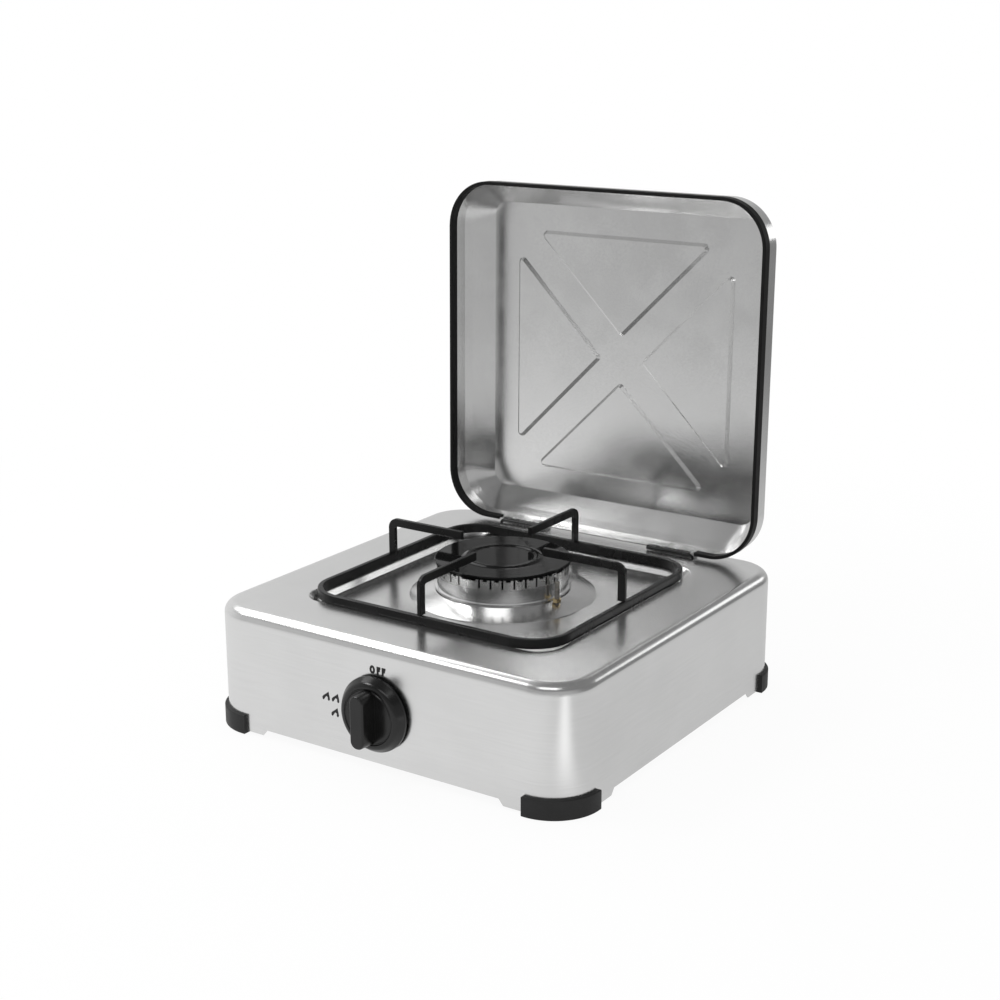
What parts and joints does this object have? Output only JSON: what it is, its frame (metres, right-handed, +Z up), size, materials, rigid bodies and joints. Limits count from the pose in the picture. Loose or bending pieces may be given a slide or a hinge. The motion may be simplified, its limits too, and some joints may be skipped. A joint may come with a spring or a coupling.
{
  "type": "tabletop gas stove",
  "caption": "Square tabletop gas stove with a rotary control knob, a round slotted burner, a flat-bar pan support and a hinged lid shaped as a shallow pan.",
  "frame": {"origin": "on the table under the burner's axis, at the centre of the casing", "axes": "+Z up, -Y towards the user and the knob, +Y towards the lid's hinge and the gas inlet, +X to the user's right"},
  "size_m": [0.3056, 0.3433, 0.3601],
  "materials": {
    "casing_steel": "brushed stainless sheet",
    "lid_steel": "brushed stainless sheet",
    "foot_rubber": "black rubber, semi-matt",
    "trim_rubber": "black rubber, semi-matt",
    "support_enamel": "black enamel, semi-gloss",
    "burner_chrome": "polished",
    "crown_metal": "cast aluminium, darkened",
    "cap_enamel": "black gloss enamel",
    "hinge_steel": "zinc plated",
    "knob_plastic": "black moulded plastic",
    "bracket_steel": "zinc plated strip",
    "tube_metal": "die-cast aluminium",
    "shutter_steel": "plated strip",
    "screw_steel": "zinc plated",
    "spindle_steel": "turned steel",
    "spring_steel": "spring wire",
    "valve_brass": "turned brass",
    "ceramic": "white glazed ceramic",
    "igniter_plastic": "black moulded plastic",
    "lead_rubber": "red silicone insulation",
    "pipe_metal": "drawn aluminium tube"
  },
  "bodies": {
    "stove": {"body_shell": "casing_steel", "foot_rear_right": "foot_rubber", "foot_rear_left": "foot_rubber", "foot_front_left": "foot_rubber", "foot_front_right": "foot_rubber", "burner_bowl": "burner_chrome", "burner_crown": "crown_metal", "mixing_tube": "tube_metal", "burner_bracket": "bracket_steel", "tube_saddle": "bracket_steel", "saddle_screws": "screw_steel", "hinge_pin_left": "hinge_steel", "hinge_pin_right": "hinge_steel", "pin_push_nuts": "spring_steel", "return_spring": "spring_steel", "spindle_gland": "valve_brass", "valve_body": "valve_brass", "valve_screws": "screw_steel", "gas_jet": "valve_brass", "spark_igniter": "igniter_plastic", "igniter_strap": "bracket_steel", "spark_electrode": "ceramic", "spark_wire": "spindle_steel", "electrode_nut": "valve_brass", "ignition_lead": "lead_rubber", "gas_inlet_tail": "valve_brass", "gas_inlet_locknut": "valve_brass", "feed_pipe": "pipe_metal", "inlet_union_nut": "valve_brass", "valve_union_nut": "valve_brass"},
    "lid": {"lid_shell": "lid_steel", "lid_trim": "trim_rubber", "hinge_leaf_left": "hinge_steel", "hinge_leaf_right": "hinge_steel", "hinge_rivets": "hinge_steel"},
    "pan_support": {"pan_support_ring": "support_enamel", "pan_finger_right": "support_enamel", "pan_finger_rear": "support_enamel", "pan_finger_left": "support_enamel", "pan_finger_front": "support_enamel"},
    "cap": {"burner_cap": "cap_enamel"},
    "shutter": {"air_shutter": "shutter_steel"},
    "plug": {"valve_plug": "valve_brass"},
    "knob_group": {"knob": "knob_plastic", "knob_insert": "spring_steel", "valve_spindle": "spindle_steel", "thrust_washer": "spindle_steel"}
  },
  "joints": [
    {"name": "lid_swing", "type": "hinge", "parent": "stove", "child": "lid", "pos_m": [0, 0.1269, 0.0924], "axis": [-1, 0, 0], "range_deg": [-90.8, 0]},
    {"name": "knob_turn", "type": "hinge", "parent": "stove", "child": "plug", "pos_m": [0, -0.12, 0.0424], "axis": [0, -1, 0], "range_deg": [0, 105]},
    {"name": "knob_push", "type": "slide", "parent": "plug", "child": "knob_group", "axis": [0, 1, 0], "range_m": [0, 0.0016], "stiffness_N_per_m": 800, "springref_m": -0.004, "deforming": ["return_spring"]},
    {"name": "pan_support_lift", "type": "slide", "parent": "stove", "child": "pan_support", "axis": [0, 0, 1], "range_m": [0, 0.06]},
    {"name": "cap_lift", "type": "slide", "parent": "stove", "child": "cap", "axis": [0, 0, 1], "range_m": [0, 0.004]},
    {"name": "air_shutter_turn", "type": "hinge", "parent": "stove", "child": "shutter", "pos_m": [0, -0.077, 0.0424], "axis": [0, 1, 0], "range_deg": [0, 40]}
  ]
}
